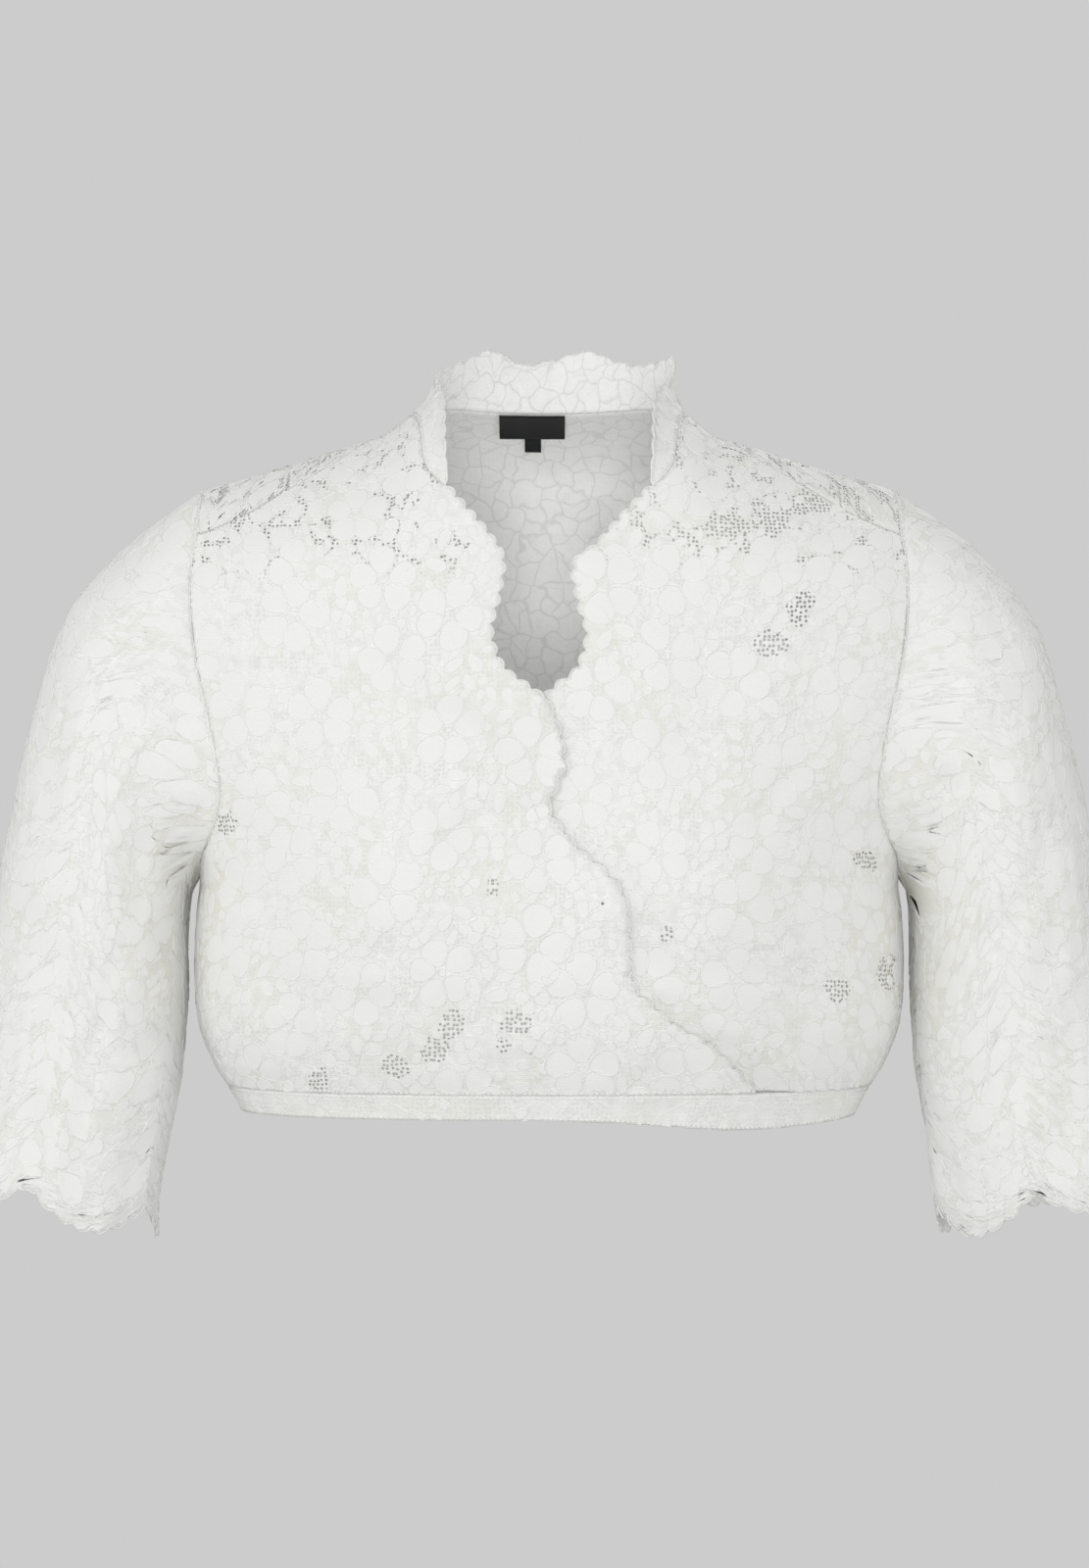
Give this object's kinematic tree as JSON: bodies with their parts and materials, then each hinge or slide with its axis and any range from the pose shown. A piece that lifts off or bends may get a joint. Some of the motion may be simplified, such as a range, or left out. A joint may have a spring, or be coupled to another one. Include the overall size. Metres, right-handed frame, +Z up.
{
  "type": "dirndl blouse",
  "caption": "Short dirndl blouse of floral lace with a wrapped front, a scalloped standing collar, elbow sleeves and a keyhole neckline, shaped as worn.",
  "frame": {"origin": "midway between the two neck points, on the wearer's shoulders", "axes": "+X to the viewer's right as the front is seen, -Y out of the front, +Z up"},
  "size_m": [0.6425, 0.2271, 0.4795],
  "materials": {
    "lace": "cream floral lace",
    "lining": "plain off-white cloth",
    "label": "black woven satin"
  },
  "bodies": {
    "root": {"front_right": "lace", "front_left": "lace", "back": "lace", "collar": "lace", "sleeve_right": "lace", "sleeve_left": "lace", "hem_front": "lace", "hem_back": "lace", "lining_right": "lining", "lining_left": "lining", "label": "label", "size_tab": "label"}
  },
  "joints": []
}
